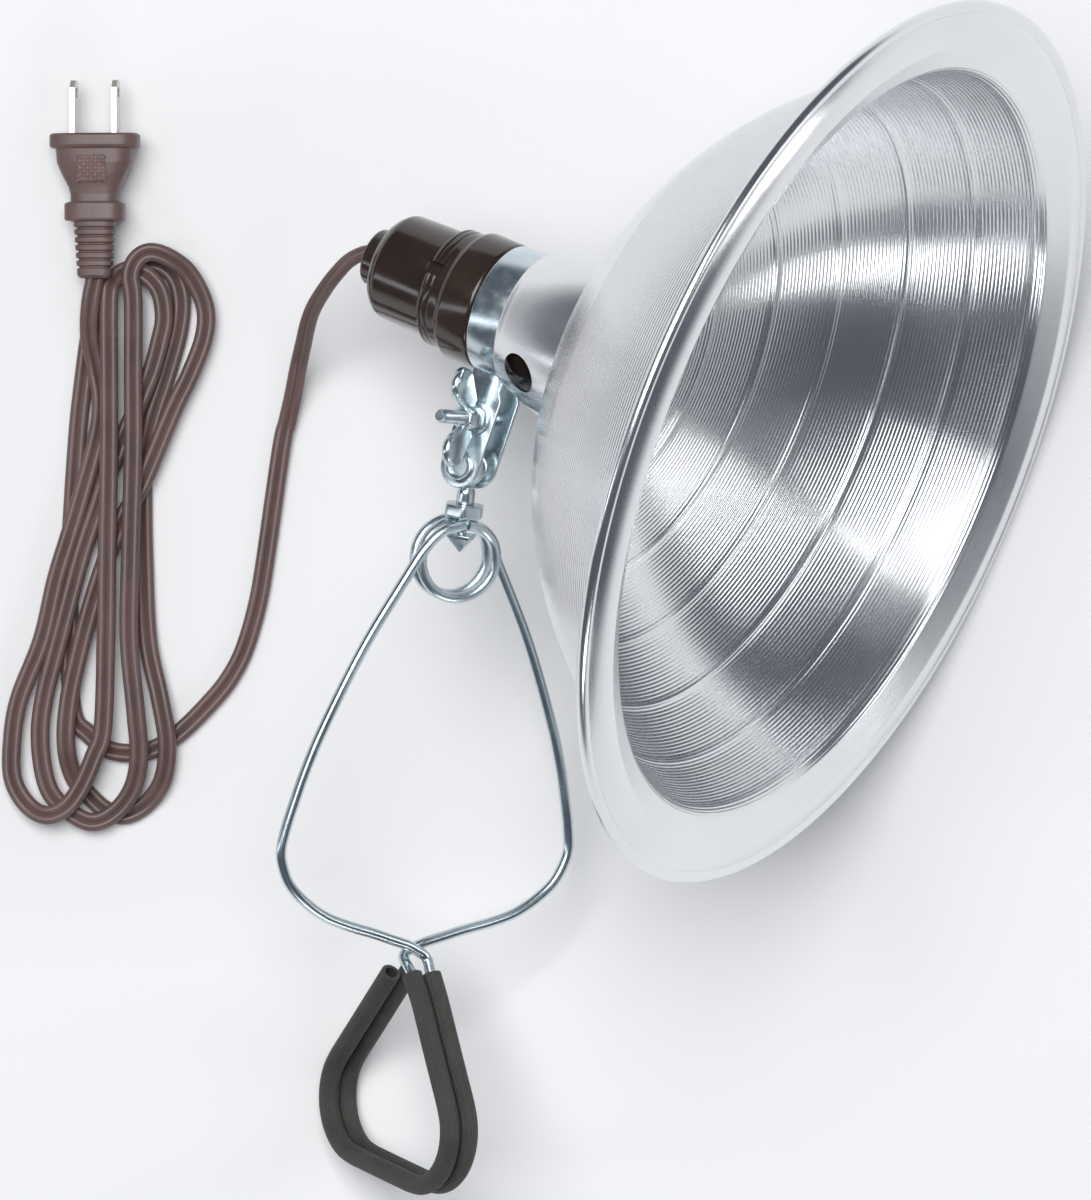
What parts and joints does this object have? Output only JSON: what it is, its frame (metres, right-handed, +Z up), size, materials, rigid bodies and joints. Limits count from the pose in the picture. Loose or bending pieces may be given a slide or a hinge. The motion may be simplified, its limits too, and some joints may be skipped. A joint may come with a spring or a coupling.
{
  "type": "heat lamp fixture",
  "caption": "Clamp-on brooder heat lamp: spun aluminium dome, phenolic screw socket, ear-and-wing-nut band, ball swivel, crossed-wire spring clamp and a folded two-wire cord with plug.",
  "frame": {"origin": "on the surface that the lamp lies on, at the middle of the footprint of the lamp without its cord", "axes": "+Z up; +Y from the clamp's jaws towards the reflector, in the plane of the surface; +X towards the open mouth of the reflector"},
  "size_m": [0.3212, 0.3435, 0.2407],
  "materials": {
    "reflector": "spun, bright, with fine concentric rings",
    "socket": "glossy dark brown phenolic",
    "zinc": "bluish zinc plate, semi-bright",
    "brass": "plain",
    "nickel": "nickel plate",
    "fibre": "vulcanised fibre",
    "jaw_rubber": "matte, fine lengthwise lines",
    "cord": "semi-gloss brown vinyl"
  },
  "bodies": {
    "head": {"reflector": "reflector", "socket_sleeve": "socket", "socket_body": "socket", "screw_shell": "brass", "insulating_disc": "fibre", "live_terminal_screw": "brass", "neutral_terminal_screw": "nickel", "live_conductor": "cord", "neutral_conductor": "cord", "cord_knot": "cord", "cord_in_boss": "cord", "socket_band": "zinc", "clamp_bolt": "zinc", "washer": "zinc", "cord_lead": "cord", "cord_hank": "cord", "plug_body": "cord", "plug_blade_left": "nickel", "plug_blade_right": "nickel"},
    "contact": {"centre_contact": "brass"},
    "wing_nut": {"wing_nut": "zinc"},
    "ball": {"swivel_ball": "zinc"},
    "stud": {"swivel_stud": "zinc", "stud_tip_nut": "zinc"},
    "spring": {"spring_coil": "zinc"},
    "left_arm": {"left_leg": "zinc", "right_jaw_sleeve": "jaw_rubber"},
    "right_arm": {"right_leg": "zinc", "left_jaw_sleeve": "jaw_rubber"}
  },
  "joints": [
    {"name": "contact_press", "type": "slide", "parent": "head", "child": "contact", "axis": [-0.8292, 0.3523, -0.434], "range_m": [0, 0.0015], "stiffness_N_per_m": 1500},
    {"name": "wing_nut_turn", "type": "hinge", "parent": "head", "child": "wing_nut", "pos_m": [-0.0579, 0.05553, 0.06768], "axis": [-0.4613, 0.0073, 0.8872], "continuous": true},
    {"name": "ball_swing", "type": "hinge", "parent": "head", "child": "ball", "pos_m": [-0.06264, 0.04149, 0.06533], "axis": [-0.4613, 0.0073, 0.8872], "range_deg": [-22, 20]},
    {"name": "stud_tilt", "type": "hinge", "parent": "ball", "child": "stud", "pos_m": [-0.06264, 0.04149, 0.06533], "axis": [0.8724, -0.1786, 0.455], "range_deg": [-20, 10]},
    {"name": "clamp_turn", "type": "hinge", "parent": "stud", "child": "spring", "pos_m": [-0.06264, 0.04149, 0.06533], "axis": [-0.1098, -0.9787, -0.1736], "range_deg": [-60, 30]},
    {"name": "left_squeeze", "type": "hinge", "parent": "spring", "child": "left_arm", "pos_m": [-0.06569, 0.01429, 0.0605], "axis": [0.4339, -0.2044, 0.8775], "range_deg": [0, 10], "stiffness_Nm_per_rad": 4, "springref_deg": -8.59},
    {"name": "right_squeeze", "type": "hinge", "parent": "spring", "child": "right_arm", "pos_m": [-0.06569, 0.01429, 0.0605], "axis": [0.4339, -0.2044, 0.8775], "range_deg": [-10, 0]}
  ],
  "couplings": [
    {"joint": "right_squeeze", "follows": "left_squeeze", "ratio": -1}
  ]
}
